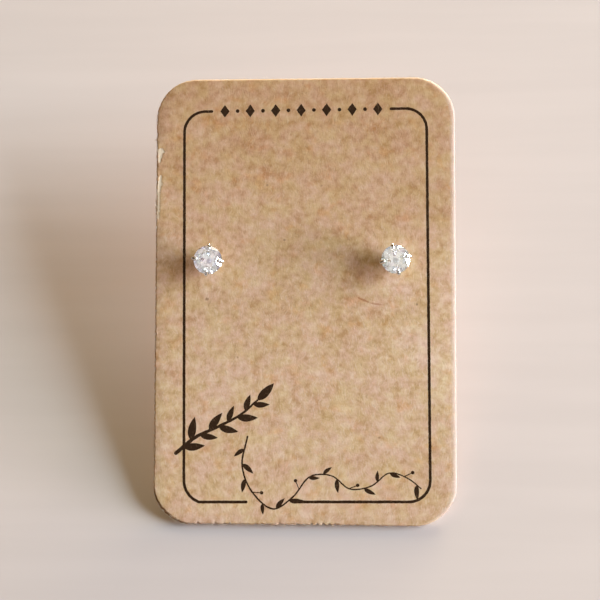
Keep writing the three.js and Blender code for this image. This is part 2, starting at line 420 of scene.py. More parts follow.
ink = {
    "colour": (0.037, 0.0185, 0.009),
    "worn": (0.105, 0.062, 0.032),
    "thin": (2.4, 5.0, 0.7),
    "thinSpread": (0.52, 0.72),
    "thinWeight": 0.6,
    "streaks": (0.85, 0.24, 0.60, 0.74),
    "streakWeight": 0.7,
    "grain": (3.2, 4.0, 0.65),
    "grainShare": 0.6,
    "roughness": 0.8,
    "gloss": 0.06,
}


def makeInk():
    sockets = {"Roughness": ink["roughness"], "Specular IOR Level": ink["gloss"]}
    material, tree, shader = newMaterial("printingInk", sockets)
    coords = cardCoords(tree)
    thin = spread(tree, noiseOf(tree, coords, *ink["thin"]), *ink["thinSpread"])
    thin = times(tree, thin, ink["thinWeight"])
    # the same fibres as the paper's first light ones
    fibre = streaks(tree, coords, kraft["lightTurns"][0], *ink["streaks"], kraft["lightShift"][0])
    share = calc(tree, "MAXIMUM", thin, times(tree, fibre, ink["streakWeight"]))
    tree.links.new(mixColours(tree, share, ink["colour"], ink["worn"]), shader.inputs["Base Color"])
    addBump(tree, shader, noiseOf(tree, coords, *ink["grain"]), kraft["grainDepth"] * ink["grainShare"])
    return material


polished = {
    "colours": ((0.90, 0.90, 0.91), (0.80, 0.80, 0.81)),
    "clouds": (1.3, 3.0),
    "lines": (9.0, 3.0, 0.6),
    "lineTurn": 24,
    "lineScale": (1, 1, 0.2),
    "roughness": (0.3, 0.8, 0.07, 0.24),
    "relief": 0.004,
}

satin = {
    "colours": ((0.68, 0.67, 0.66), (0.82, 0.81, 0.80)),
    "clouds": None,  # its colour follows its lines
    "lines": (3.0, 4.0, 0.7),
    "lineTurn": 3,
    "lineScale": (0.25, 9, 9),
    "roughness": (0.25, 0.8, 0.2, 0.42),
    "relief": 0.006,
}


def makeMetal(name, look):
    material, tree, shader = newMaterial(name, {"Metallic": 1.0})
    coords = cardCoords(tree)
    drawn = mapped(tree, coords, turn=look["lineTurn"], scale=look["lineScale"])
    lines = noiseOf(tree, drawn, *look["lines"])
    cloud = noiseOf(tree, coords, *look["clouds"]) if look["clouds"] else lines
    tree.links.new(mixColours(tree, cloud, *look["colours"]), shader.inputs["Base Color"])
    tree.links.new(spread(tree, lines, *look["roughness"]), shader.inputs["Roughness"])
    addBump(tree, shader, lines, look["relief"])
    return material


stone = {
    "radius": 1.875,
    "tableShare": 0.58,
    "starShare": 0.79,
    "lowerTipShare": 0.25,
    "crownAngle": 34.5,
    "pavilionAngle": 40.75,
    "girdle": 0.1,
    "mains": 8,
    "girdleSides": 96,
    "ior": 2.16,
    # painted fire: each facet's tint stands in for the coloured flashes of the stone's dispersion
    "paintedFireTints": [(1, 1, 1), (0.84, 0.90, 1), (1, 0.95, 0.86), (0.87, 1, 0.95), (0.95, 0.86, 1)],
    "seed": 23,
}


def makeStoneMaterial():
    sockets = {"Roughness": 0.0, "IOR": stone["ior"], "Transmission Weight": 1.0}
    material, tree, shader = newMaterial("colourlessStone", sockets)
    # the facets' painted fire tints give the glass its colour
    tree.links.new(attribute(tree, "facetTint", "Color"), shader.inputs["Base Color"])
    return material


kraftMaterial = makeKraft()
inkMaterial = makeInk()
metalMaterial = makeMetal("polishedMetal", polished)
clutchMaterial = makeMetal("satinSteel", satin)
stoneMaterial = makeStoneMaterial()
print("Materials made")


# Meshes
def newObject(name, mesh, materials):
    item = bpy.data.objects.new(name, mesh)
    bpy.context.scene.collection.objects.link(item)
    for i, material in enumerate(materials):
        if i < len(mesh.materials):
            mesh.materials[i] = material
        else:
            mesh.materials.append(material)
    return item


def meshOf(bm, name):
    mesh = bpy.data.meshes.new(name)
    bm.to_mesh(mesh)
    bm.free()
    return mesh


# Gives the object its evaluated mesh, with its modifiers gone
def flattened(item):
    graph = bpy.context.evaluated_depsgraph_get()
    mesh = bpy.data.meshes.new_from_object(item.evaluated_get(graph), depsgraph=graph)
    item.modifiers.clear()
    item.data = mesh
    return item


# The object's mesh alone, with edges sharp past an angle
def meshAlone(item, degrees):
    mesh = item.data
    bpy.data.objects.remove(item)
    mesh.polygons.foreach_set("use_smooth", [True] * len(mesh.polygons))
    mesh.set_sharp_from_angle(angle=math.radians(degrees))
    return mesh


# Joins a mesh to an object's, or cuts it away
def combine(item, mesh, operation, place=None):
    if isinstance(mesh, bmesh.types.BMesh):
        mesh = meshOf(mesh, "other")
    other = newObject("other", mesh, item.data.materials)
    other.data.transform(place or Matrix())
    modifier = item.modifiers.new(operation, "BOOLEAN")
    modifier.operation = operation
    modifier.solver = "EXACT"
    modifier.use_self = operation == "UNION"
    modifier.object = other
    flattened(item)
    bpy.data.objects.remove(other)


# Faces between two closed rows of vertices
def joinRows(bm, upper, lower):
    for i in range(len(upper)):
        j = (i + 1) % len(upper)
        bm.faces.new((upper[i], lower[i], lower[j], upper[j]))


def geoNode(tree, kind, inputs=None, settings=None):
    return addNode(tree, "GeometryNode" + kind, settings, inputs).outputs[0]


def addTree(name, sockets):
    tree = bpy.data.node_groups.new(name, "GeometryNodeTree")
    tree.interface.new_socket("Geometry", in_out="OUTPUT", socket_type="NodeSocketGeometry")
    for label, kind in {"Geometry": "Geometry", **sockets, "Material": "Material"}.items():
        tree.interface.new_socket(label, in_out="INPUT", socket_type="NodeSocket" + kind)
    return tree, tree.nodes.new("NodeGroupInput").outputs


def endTree(tree, geometry, given):
    real = geoNode(tree, "RealizeInstances", {0: geometry})
    done = geoNode(tree, "SetMaterial", {"Geometry": real, "Material": given["Material"]})
    tree.links.new(done, tree.nodes.new("NodeGroupOutput").inputs[0])
    return tree


# Runs a node tree on an object once, with its inputs set by their sockets' identifiers
def runTree(item, tree, values):
    modifier = item.modifiers.new(tree.name, "NODES")
    modifier.node_group = tree
    for socket in tree.interface.items_tree:
        if socket.in_out == "INPUT" and socket.name in values:
            modifier[socket.identifier] = values[socket.name]
    return flattened(item)


# A smooth path through a few points, evenly stepped; each stretch's time grows with the root of its length
def smoothPath(points, steps):
    points = [Vector(point) for point in points]
    padded = [2 * points[0] - points[1], *points, 2 * points[-1] - points[-2]]
    path = []
    for i in range(1, len(padded) - 2):
        p = padded[i - 1 : i + 3]
        t = [0.0]
        for a, b in zip(p, p[1:]):
            t.append(t[-1] + math.sqrt((b - a).length))
        for step in range(steps):
            u = t[1] + (t[2] - t[1]) * step / steps
            a = [p[k].lerp(p[k + 1], (u - t[k]) / (t[k + 1] - t[k])) for k in range(3)]
            b = [a[k].lerp(a[k + 1], (u - t[k]) / (t[k + 2] - t[k])) for k in range(2)]
            path.append(b[0].lerp(b[1], (u - t[1]) / (t[2] - t[1])))
    return [*path, points[-1]]


def pathLength(path):
    return sum((b - a).length for a, b in zip(path, path[1:]))


# The point at a share of a path's length, and the direction there
def alongPath(path, share):
    left = share * pathLength(path)
    for a, b in zip(path, path[1:]):
        step = (b - a).length
        if left <= step:
            return a.lerp(b, left / step), (b - a).normalized()
        left -= step
    return path[-1], (path[-1] - path[-2]).normalized()


def evenly(path, spacing):
    count = max(2, round(pathLength(path) / spacing))
    return [alongPath(path, i / count)[0] for i in range(count + 1)]


# The printed border and ornament, each shape a closed outline on the card's front
border = {
    "left": -16.055,
    "right": 16.371,
    "top": 55.148,
    "bottom": 3.074,
    "cornerRadius": 2.8,
    "turn": 0.34,  # degrees, about the middle of the card
    "turnHeight": 30.0,
    "topGap": (-12.36, 11.64),
    "bottomGap": (-7.8, -0.94),
    "width": 0.375,
    "kinkRadius": 3.0,  # the lower left corner turns only so far, and meets the line below at an angle
    "kinkTurn": 71,
    "arcSteps": 24,
}
bleeding = {"fineness": 4.1, "layer": 0.7, "line": 0.036, "leaf": 0.02, "dot": 0.03, "lozenge": 0.04}
inkSpacing = 0.2

ornament = {
    "lozenge": (1.25, 1.75),
    "lozengeSteps": 5,
    "dotRadius": 0.26,
    "dotSides": 14,
    "chainCount": 13,
    "chainEnds": (-10.6, 9.9),
    "sprig": [(-17.0, 9.4), (-14.4, 11.5), (-11.4, 12.9), (-8.4, 14.5), (-6.2, 16.4)],
    "sprigWidth": (0.52, 0.26),
    "sprigLeaves": 9,
    "sprigPlacing": (0.10, 0.84, 46, 7, 1.7),  # first leaf, reach, turn, swing and beat
    "leafSize": (3.1, 1.12),
    "vine": [(-7.5, 11.6), (-8.2, 7.8), (-6.9, 4.4), (-4.1, 2.15), (-1.5, 3.7), (0.8, 6.4)]
    + [(3.6, 6.5), (6.0, 4.8), (8.8, 5.2), (11.2, 6.9), (13.6, 6.2), (15.3, 4.9)],
    "vineWidth": (0.24, 0.17),
    "vineLeaves": 17,
    "vinePlacing": (0.05, 0.93, 50, 8, 2.1),
    "vineLeafSize": (1.75, 0.62),
    "stalk": 1.1,
    "stalkWidth": (0.15, 0.12),
    "berryRadius": 0.24,
    "berrySides": 12,
}


def bleed(point, kind):
    return bleeding[kind] * noiseAt(point, bleeding["fineness"], bleeding["layer"])


# A line of ink along a path, with rounded ends; its width runs from the first to the second value
def strokeOutline(path, widths, capSteps=5):
    sides = {1: [], -1: []}
    for i, point in enumerate(path):
        tangent = (path[min(i + 1, len(path) - 1)] - path[max(i - 1, 0)]).normalized()
        across = Vector((-tangent.y, tangent.x))
        half = (widths[0] + (widths[1] - widths[0]) * i / (len(path) - 1)) / 2
        for side in sides:
            edge = point + across * side * half
            sides[side].append(edge + across * side * bleed(edge, "line"))
    caps = []
    for end, before, width in ((path[-1], path[-2], widths[1]), (path[0], path[1], widths[0])):
        ahead = (end - before).normalized()
        turns = [math.pi * (k + 1) / (capSteps + 1) - math.pi / 2 for k in range(capSteps)]
        caps.append([end + width / 2 * (Matrix.Rotation(turn, 2) @ ahead) for turn in turns])
    return [*sides[-1], *caps[0], *reversed(sides[1]), *caps[1]]


# A leaf drawn with one press of the brush
def leafOutline(root, direction, size, bend, steps=14):
    length, width = size
    across = Vector((-direction.y, direction.x))
    sides = {1: [], -1: []}
    for i in range(steps + 1):
        t = i / steps
        spine = root + direction * length * t + across * bend * length * t * t
        half = width / 2 * math.sin(math.pi * t**0.8) ** 0.85 if 0 < i < steps else 0.012
        for side in sides:
            sides[side].append(spine + across * side * (half + bleed(spine, "leaf")))
    return [*sides[-1], *reversed(sides[1])]


def roundOutline(centre, radius, count):
    radii = [radius + bleed(Vector((t, centre[0])), "dot") for t in around(count)]
    return [Vector(centre) + onCircle(t) * reach for t, reach in zip(around(count), radii)]


# The whole print sits a little turned on the card
def turnedOnCard(points):
    middle = Vector((0, border["turnHeight"]))
    turn = Matrix.Rotation(math.radians(border["turn"]), 2)
    return [middle + turn @ (Vector(point) - middle) for point in points]


def borderPaths():
    radius, kink, kinkTurn = border["cornerRadius"], border["kinkRadius"], border["kinkTurn"]
    left, right = border["left"] + radius, border["right"] - radius
    bottom, top = border["bottom"] + radius, border["top"] - radius

    def arc(x, y, size, start, sweep):
        turns = [math.radians(start + sweep * i / border["arcSteps"]) for i in range(border["arcSteps"] + 1)]
        return [Vector((x + size * math.cos(t), y + size * math.sin(t))) for t in turns]

    kinkHeight = border["bottom"] + kink * math.sin(math.radians(kinkTurn))
    leftArcs = arc(left, top, radius, 90, 90) + arc(border["left"] + kink, kinkHeight, kink, 180, kinkTurn)
    rightArcs = arc(right, bottom, radius, 270, 90) + arc(right, top, radius, 0, 90)
    topEnds, bottomEnds = [[(x, border[edge]) for x in border[edge + "Gap"]] for edge in ("top", "bottom")]
    paths = ([topEnds[0], *leftArcs, bottomEnds[0]], [bottomEnds[1], *rightArcs, topEnds[1]])
    return [turnedOnCard(path) for path in paths]


def chainShapes():
    first, last = ornament["chainEnds"]
    halfWide, halfHigh = (size / 2 for size in ornament["lozenge"])
    steps = ornament["lozengeSteps"]
    for i in range(ornament["chainCount"]):
        x = first + (last - first) * i / (ornament["chainCount"] - 1)
        centre = turnedOnCard([(x, border["top"])])[0]
        if i % 2:
            yield roundOutline(centre, ornament["dotRadius"], ornament["dotSides"])
        else:
            tips = [(halfWide, 0), (0, halfHigh), (-halfWide, 0), (0, -halfHigh)]
            corners = [centre + Vector(tip) for tip in tips]
            pairs = zip(corners, corners[1:] + corners[:1])
            outline = [a.lerp(b, k / steps) for a, b in pairs for k in range(steps)]
            yield [p + (p - centre).normalized() * bleed(p, "lozenge") for p in outline]


# Where a leaf leaves its stem and which way it points, on the two sides in turn
def leafPlace(stem, i, count, start, reach, turn, swing, beat):
    root, ahead = alongPath(stem, start + reach * i / (count - 1))
    side = 1 if i % 2 else -1
    angle = math.radians(side * (turn + swing * math.sin(beat * i)))
    return root, Matrix.Rotation(angle, 2) @ ahead, side, ahead


# A brushed sprig with a leaf at its end
def sprigShapes():
    sprig = evenly(smoothPath(ornament["sprig"], 12), inkSpacing)
    yield strokeOutline(sprig, ornament["sprigWidth"])
    count = ornament["sprigLeaves"]
    for i in range(count):
        root, direction, side, ahead = leafPlace(sprig, i, count, *ornament["sprigPlacing"])
        scale = (0.92 + 0.12 * math.sin(2.3 * i)) * (1 - 0.22 * i / count)
        yield leafOutline(root, direction, [length * scale for length in ornament["leafSize"]], -0.14 * side)
    yield leafOutline(sprig[-1], ahead, ornament["leafSize"], 0.05)


# A thin vine with small leaves, and a berry in place of every fourth
def vineShapes():
    vine = evenly(smoothPath(ornament["vine"], 12), inkSpacing)
    yield strokeOutline(vine, ornament["vineWidth"])
    count = ornament["vineLeaves"]
    for i in range(count):
        root, direction, side, _ = leafPlace(vine, i, count, *ornament["vinePlacing"])
        if i % 4 == 3:
            stalk = [root + direction * ornament["stalk"] * share for share in (0, 0.5, 1)]
            yield strokeOutline(evenly(stalk, 0.18), ornament["stalkWidth"], 3)
            centre = stalk[-1] + direction * ornament["berryRadius"] / 2
            yield roundOutline(centre, ornament["berryRadius"], ornament["berrySides"])
        else:
            size = [length * (0.95 + 0.15 * math.sin(1.3 * i)) for length in ornament["vineLeafSize"]]
            yield leafOutline(root, direction, size, -0.16 * side, 10)


def printedShapes():
    widths = (border["width"], border["width"])
    lines = [strokeOutline(evenly(path, inkSpacing), widths) for path in borderPaths()]
    return [*lines, *chainShapes(), *sprigShapes(), *vineShapes()]


# The card's outline: each point with the direction out of the card there
def outlinePoints():
    halfWidth, height, radius = card["width"] / 2, card["height"], card["cornerRadius"]
    right, top = halfWidth - radius, height - radius
    centres = [(right, radius), (right, top), (-right, top), (-right, radius)]
    arcSteps = round(radius * math.pi / 2 / card["pointSpacing"])
    points = []
    for corner, centre in enumerate(centres):
        for i in range(arcSteps + 1):
            outward = onCircle(math.pi / 2 * (corner - 1 + i / arcSteps))
            points.append((Vector(centre) + radius * outward, outward))
        start = points[-1][0]
        end = Vector(centres[(corner + 1) % 4]) + radius * outward
        steps = round((end - start).length / card["pointSpacing"])
        points += [(start.lerp(end, i / steps), outward) for i in range(1, steps)]
    return points


# How deep a point lies in a tear, from 0 to 1
def tornAt(point):
    if point.x > tornReach["right"] or point.y < tornReach["bottom"]:
        return 0.0
    spot = Vector((point.x, point.y))
    ragged = tornReach["fullness"]
    for weight, fineness, layer in tornReach["noises"]:
        ragged += weight * noiseAt(point, fineness, layer)
    depth = 0.0
    for line in tears:
        for a, b in zip(line, line[1:]):
            start, stretch = Vector(a[:2]), Vector(b[:2]) - Vector(a[:2])
            along = limited((spot - start).dot(stretch) / stretch.length_squared)
            half = a[2] + (b[2] - a[2]) * along
            away = (spot - start - stretch * along).length / half
            depth = max(depth, tornReach["steepness"] * (ragged - away))
    return limited(depth)


def atLowerLeft(outward):
    return 2 * max(0.0, -outward.x) * max(0.0, -outward.y)


# The cut is ragged where the die was blunt, at the left and below
def bluntness(point):
    atLeft = limited(1 - (point.x + card["width"] / 2) / 1.5)
    below = limited((8 - point.y) / 6) * limited((12 - point.x) / 8)
    return max(0.8 * atLeft, below)


def dieCut(point, outward, inset):
    rough = 0.5 + 0.5 * noiseAt(point, 1.9, 3.1) + 0.6 * abs(noiseAt(point, 6.3, 9.4))
    ragged = max(0.0, 0.24 + 0.85 * noiseAt(point, 2.6, 6.1)) * bluntness(point)
    lowerLeft = atLowerLeft(outward)
    depth = card["cutRoughness"] * rough + card["raggedness"] * ragged * (1 - 0.6 * lowerLeft)
    placed = point - outward * (inset + depth - card["cornerProud"] * lowerLeft)
    across = (card["askewFrom"] - placed.x) / (card["askewFrom"] + card["width"] / 2)
    fade = max(0.0, 1 - placed.y / card["askewHeight"]) ** 2
    placed.y += card["askew"] * max(0.0, across) * fade * (3 - 2 * fade)
    return placed


# The front's rim is rolled over widest at the right, and the cut gets painted light where it faces the right
def rollWidth(outward):
    shares = {
        "AtRight": max(0.0, outward.x),
        "AtTop": max(0.0, outward.y) * (1 - abs(outward.x)),
        "AtLowerLeft": atLowerLeft(outward),
    }
    narrow = card["rollWidth"]
    return narrow + sum((card["rollWidth" + place] - narrow) * share for place, share in shares.items())


# painted light: how much the cut faces the light at the right
def litSideShare(outward):
    return 0.12 + 0.88 * max(0.0, outward.x)


def waveAt(point):
    return card["waveDepth"] * (0.6 * noiseAt(point, 0.07, 5.5) + 0.4 * noiseAt(point, 0.35, 1.5) - 1) / 2


# One flat side of the card as triangles, with the shapes as faces of their own
def flatSide(outline, holes, shapes, inner):
    loops = [outline, *holes, *shapes]
    points, faces = [], []
    for loop in loops:
        faces.append(list(range(len(points), len(points) + len(loop))))
        points += loop
    result = delaunay_2d_cdt([*points, *inner], [], faces, 0, 1e-7)
    places, triangles, sourceVerts, sourceFaces = result[0], result[2], result[3], result[5]
    ring = {source: index for index, sources in enumerate(sourceVerts) for source in sources}
    kept = []
    for triangle, sources in zip(triangles, sourceFaces):
        inHole = any(1 <= source <= len(holes) for source in sources)
        if 0 in sources and not inHole:
            kept.append((triangle, any(source > len(holes) for source in sources)))
    return places, kept, ring


def innerPoints():
    random.seed(11)
    spacing, margin = card["innerSpacing"], card["innerMargin"]
    points = []
    for row in range(int((card["height"] - 2 * margin) / spacing) + 1):
        for column in range(int((card["width"] - 2 * margin) / spacing) + 1):
            x = margin - card["width"] / 2 + spacing * (column + 0.3 * random.random() + 0.5 * (row % 2))
            y = margin + spacing * (row + 0.3 * random.random())
            fromCorner = Vector((card["width"] / 2 - abs(x), min(y, card["height"] - y)))
            reach = card["cornerRadius"] - fromCorner.x, card["cornerRadius"] - fromCorner.y
            inCorner = min(reach) > 0 and math.hypot(*reach) > card["cornerRadius"] - margin
            if fromCorner.x > margin and not inCorner:
                points.append(Vector((x, y)))
    spacing = card["tornSpacing"]
    fromLeft, fromBelow = card["tornFrom"]
    columns, rows = card["tornPoints"]
    for row in range(rows):
        for column in range(columns):
            jitter = Vector((random.random(), random.random())) * spacing / 3
            corner = (fromLeft + spacing * column - card["width"] / 2, fromBelow + spacing * row)
            points.append(Vector(corner) + jitter)
    return points


# The rings of the rim, from the front's flat over the roll and down the cut to the back's flat
def rimRings(outward):
    rings = []
    steps, thickness = card["rollSteps"], card["thickness"]
    for i in range(steps + 1):
        turn = math.pi / 2 * i / steps
        inset = rollWidth(outward) * (1 - math.sin(turn))
        rings.append((inset, thickness - card["rollDepth"] * (1 - math.cos(turn)), math.sin(turn) ** 0.7))
    for i in range(steps, -1, -1):
        turn = math.pi / 2 * i / steps
        inset = card["backRoll"] * (1 - math.sin(turn))
        rings.append((inset, card["backRoll"] * (1 - math.cos(turn)), math.sin(turn)))
    return rings


def roundHole(centre):
    return [Vector(centre) + card["holeRadius"] * onCircle(t) for t in around(card["holeSides"])]


def makeCard():
    outline = outlinePoints()
    rims = [rimRings(outward) for _, outward in outline]
    holes = [roundHole((holeAcross(stud), card["holeHeight"])) for stud in studs]
    bm = bmesh.new()
    layers = {name: bm.verts.layers.float.new(name) for name in ("cutEdge", "darkEdge", "torn", "fray")}

    def addVert(place, z, share, outward=None):
        torn = tornAt(place)
        vert = bm.verts.new((place.x, place.y, z - card["tearDepth"] * torn * (z > card["thickness"] / 2)))
        values = {"torn": torn}
        if outward:
            values["torn"] = max(torn, 0.6 * share * outward.y)  # painted highlight: the lit top rim gets the torn core's pale colour
            # painted light on the cut where it faces the right
            values["cutEdge"] = share * litSideShare(outward)
            # painted shade on the cut at the lower left
            values["darkEdge"] = share * atLowerLeft(outward)
            values["fray"] = share * (0.25 + bluntness(place) + 2 * torn)
        for name, value in values.items():
            vert[layers[name]] = value
        return vert

    flats = []
    for ringIndex, shapes, side in ((0, printedShapes(), 1), (-1, [], -1)):
        loop = [dieCut(point, outward, rim[ringIndex][0]) for (point, outward), rim in zip(outline, rims)]
        places, triangles, source = flatSide(loop, holes, shapes, innerPoints())
        z = rims[0][ringIndex][1]
        verts = [addVert(place, z + side * waveAt(place), 0.0) for place in places]
        for triangle, inked in triangles:
            face = bm.faces.new([verts[k] for k in triangle[::side]])
            face.material_index = 1 if inked else 0
        flats.append([verts[source[i]] for i in range(len(source))])

    loops = [flats[0][: len(outline)]]
    for k in range(1, len(rims[0]) - 1):
        loop = []
        for (point, outward), rim in zip(outline, rims):
            inset, z, share = rim[k]
            place = dieCut(point, outward, inset)
            side = 1 if k <= card["rollSteps"] else -1
            loop.append(addVert(place, z + side * waveAt(place) * (1 - share), share, outward))
        loops.append(loop)
    loops.append(flats[1][: len(outline)])
    for upper, lower in zip(loops, loops[1:]):
        joinRows(bm, upper, lower)

    # the walls of the two holes
    start = len(outline)
    for hole in holes:
        front, rear = [flat[start : start + len(hole)] for flat in flats]
        joinRows(bm, rear, front)
        start += len(hole)
    loose = [vert for vert in bm.verts if not vert.link_faces]
    bmesh.ops.delete(bm, geom=loose, context="VERTS")
    mesh = meshOf(bm, "card_kraft")
    mesh.transform(cardFrame)
    mesh.polygons.foreach_set("use_smooth", [True] * len(mesh.polygons))
    return newObject("card_kraft", mesh, [kraftMaterial, inkMaterial])


cardPiece = makeCard()
print("Card made:", len(cardPiece.data.polygons), "faces")


# The planes of a round brilliant's facets, each by three points; the girdle's upper edge is at z = 0
def facetPlanes(radius):
    crown, pavilion = [math.tan(math.radians(stone[angle])) for angle in ("crownAngle", "pavilionAngle")]
    tableShare, starShare, tipShare = stone["tableShare"], stone["starShare"], stone["lowerTipShare"]
    girdle = stone["girdle"] * radius / stone["radius"]
    alongMain = math.cos(math.pi / stone["mains"])

    def at(share, step, z):
        angle = 2 * math.pi * step / stone["mains"]
        return Vector((share * radius * math.cos(angle), share * radius * math.sin(angle), z))

    tableHeight = radius * (1 - tableShare) * crown
    starHeight = radius * (1 - starShare * alongMain) * crown
    lowerDepth = -girdle - radius * (1 - tipShare * alongMain) * pavilion
    culet = Vector((0, 0, -girdle - radius * pavilion))
    table = [at(tableShare, step, tableHeight) for step in range(stone["mains"] + 1)]
    planes = [(table[0], table[3], table[5])]
    for step in range(stone["mains"]):
        stars = {half: at(starShare, step + half, starHeight) for half in (0.5, -0.5)}
        lowers = {half: at(tipShare, step + half, lowerDepth) for half in (0.5, -0.5)}
        planes.append((at(1, step, 0), stars[0.5], stars[-0.5]))
        planes.append((table[step], table[step + 1], stars[0.5]))
        planes.append((culet, lowers[0.5], lowers[-0.5]))
        for half in (0.5, -0.5):
            planes.append((at(1, step, 0), at(1, step + half, 0), stars[half]))
            planes.append((at(1, step, -girdle), at(1, step + half, -girdle), lowers[half]))
    return planes


# The stone, cut facet by facet from a round blank
def cutBrilliant(radius, sides):
    bm = bmesh.new()
    depth = 3 * radius
    bmesh.ops.create_cone(bm, cap_ends=True, segments=sides, radius1=radius, radius2=radius, depth=depth)
    inside = Vector((0, 0, -stone["girdle"] / 2))
    for a, b, c in facetPlanes(radius):
        outward = (b - a).cross(c - a).normalized()
        if outward.dot(inside - a) > 0:
            outward = -outward
        geometry = [*bm.verts, *bm.edges, *bm.faces]
        bmesh.ops.bisect_plane(bm, geom=geometry, dist=1e-6, plane_co=a, plane_no=outward, clear_outer=True)
        openEdges = [edge for edge in bm.edges if edge.is_boundary]
        if openEdges:
            bmesh.ops.edgeloop_fill(bm, edges=openEdges)
    bmesh.ops.remove_doubles(bm, verts=bm.verts, dist=1e-5)
    bmesh.ops.recalc_face_normals(bm, faces=bm.faces)
    return bm


def makeStone(stud):
    random.seed(stone["seed"] + stud["place"])
    bm = cutBrilliant(stone["radius"], stone["girdleSides"])
    tintLayer = bm.loops.layers.float_color.new("facetTint")
    # painted fire: a tint on each facet for the coloured flashes of dispersion
    for face in bm.faces:
        tint = random.choice(stone["paintedFireTints"])
        for loop in face.loops:
            loop[tintLayer] = (*tint, 1)
    mesh = meshOf(bm, stud["side"] + "_brilliant")
    mesh.transform(headFrame(stud) @ Matrix.Translation((0, 0, girdleHeight)))
    return newObject(mesh.name, mesh, [stoneMaterial])


# The setting: a turned post and base, a gallery rail and four claws, soldered together and cut for the stone
setting = {
    "postLength": 11.0,
    "postRadius": 0.4,
    "tipRounding": 0.15,
    "tipLift": 0.007,  # so that the rounded tip stands on the floor as the CAD one's edge does
    "grooveFromTip": 1.7,
    "grooveWidth": 0.6,
    "grooveDepth": 0.05,
    "grooveSteps": 8,
    "baseRadius": 0.95,
    "baseHeight": 0.45,
    "baseRounding": 0.1,
    "culetClearance": 0.2,
    "clawCount": 4,
    "clawRadius": 0.26,
    "clawStandOut": 0.08,
    "clawShoulder": 0.08,
    "clawReach": 0.34,
    "clawRise": 0.36,
    "clawFootShare": 0.8,
    "railRadius": 0.17,
    "railShare": 0.42,
    "railSides": (72, 18),  # around the setting, and around the wire
    "stoneGap": 0.06,
    "seatSides": 64,
    "postSides": 48,
    "clawSides": 20,
}
pavilionDepth = stone["radius"] * math.tan(math.radians(stone["pavilionAngle"]))
girdleHeight = setting["baseHeight"] + setting["culetClearance"] + pavilionDepth + stone["girdle"]
clawFootRadius = setting["baseRadius"] - setting["clawRadius"]
clawGripRadius = stone["radius"] + setting["clawStandOut"]


# A turned solid from a profile of (radius, height) corners that starts and ends on the axis
def turned(profile, sides):
    bm = bmesh.new()
    rings = []
    for radius, z in profile:
        turns = around(sides) if radius else [0.0]
        rings.append([bm.verts.new((radius * math.cos(t), radius * math.sin(t), z)) for t in turns])
    for lower, upper in zip(rings, rings[1:]):
        for i in range(sides):
            j = (i + 1) % sides
            places = ((lower, i), (lower, j), (upper, j), (upper, i))
            corners = [ring[k % len(ring)] for ring, k in places]
            bm.faces.new(list(dict.fromkeys(corners)))
    bmesh.ops.recalc_face_normals(bm, faces=bm.faces)
    return bm


def roundedCorner(centre, radius, start, end, steps=5):
    turns = [math.radians(start + (end - start) * i / steps) for i in range(steps + 1)]
    return [(centre[0] + radius * math.cos(t), centre[1] + radius * math.sin(t)) for t in turns]


def postProfile():
    tip, post = setting["tipRounding"], setting["postRadius"]
    base, rounding, height = setting["baseRadius"], setting["baseRounding"], setting["baseHeight"]
    end = setting["tipLift"] - setting["postLength"]
    groove = setting["grooveFromTip"] - setting["postLength"]
    profile = [(0, end), *roundedCorner((post - tip, tip + end), tip, -90, 0)]
    for i in range(setting["grooveSteps"] + 1):  # a shallow groove that the clutch snaps into
        share = i / setting["grooveSteps"]
        depth = setting["grooveDepth"] * math.sin(math.pi * share)
        profile.append((post - depth, groove + setting["grooveWidth"] * (share - 0.5)))
    profile += [(post, 0), (base - rounding / 2, 0)]
    profile += roundedCorner((base - rounding / 2, rounding / 2), rounding / 2, -90, 0, 3)
    profile += roundedCorner((base - rounding, height - rounding), rounding, 0, 90)
    return [*profile, (0, height)]


# One claw swept along its path, a ball on its end, repeated round the stone
def clawRingTree():
    tree, given = addTree("clawRing", {"Claw count": "Int", "Claw radius": "Float", "Claw sides": "Int"})
    curve = geoNode(tree, "MeshToCurve", {0: given["Geometry"]})
    circle = {"Resolution": given["Claw sides"], "Radius": given["Claw radius"]}
    profile = geoNode(tree, "CurvePrimitiveCircle", circle)
    inputs = {"Curve": curve, "Profile Curve": profile, "Fill Caps": True}
    claw = geoNode(tree, "CurveToMesh", inputs)
    ball = geoNode(tree, "MeshIcoSphere", {"Radius": given["Claw radius"], "Subdivisions": 4})
    end = geoNode(tree, "CurveEndpointSelection", {"Start Size": 0, "End Size": 1})
    tip = geoNode(tree, "InstanceOnPoints", {"Points": curve, "Selection": end, "Instance": ball})
    union = addNode(tree, "GeometryNodeMeshBoolean", {"operation": "UNION", "solver": "EXACT"})
    for part in (claw, tip):
        tree.links.new(part, union.inputs["Mesh 2"])
    points = geoNode(tree, "Points", {"Count": given["Claw count"]})
    step = calc(tree, "DIVIDE", 2 * math.pi, given["Claw count"])
    spin = vectorOf(tree, z=times(tree, geoNode(tree, "InputIndex"), step))
    inputs = {"Points": points, "Instance": union.outputs[0], "Rotation": spin}
    return endTree(tree, geoNode(tree, "InstanceOnPoints", inputs), given)


def clawPath():
    corners = [
        (clawFootRadius, 0, setting["baseHeight"] * setting["clawFootShare"]),
        (clawGripRadius - setting["clawRadius"] / 2, 0, girdleHeight - 2 * setting["clawRadius"]),
        (clawGripRadius, 0, girdleHeight + setting["clawShoulder"]),
        (stone["radius"] - setting["clawReach"], 0, girdleHeight + setting["clawRise"]),
    ]
    return smoothPath(corners, 10)


def polyline(name, path):
    mesh = bpy.data.meshes.new(name)
    mesh.from_pydata(path, [(i, i + 1) for i in range(len(path) - 1)], [])
    return newObject(name, mesh, [])


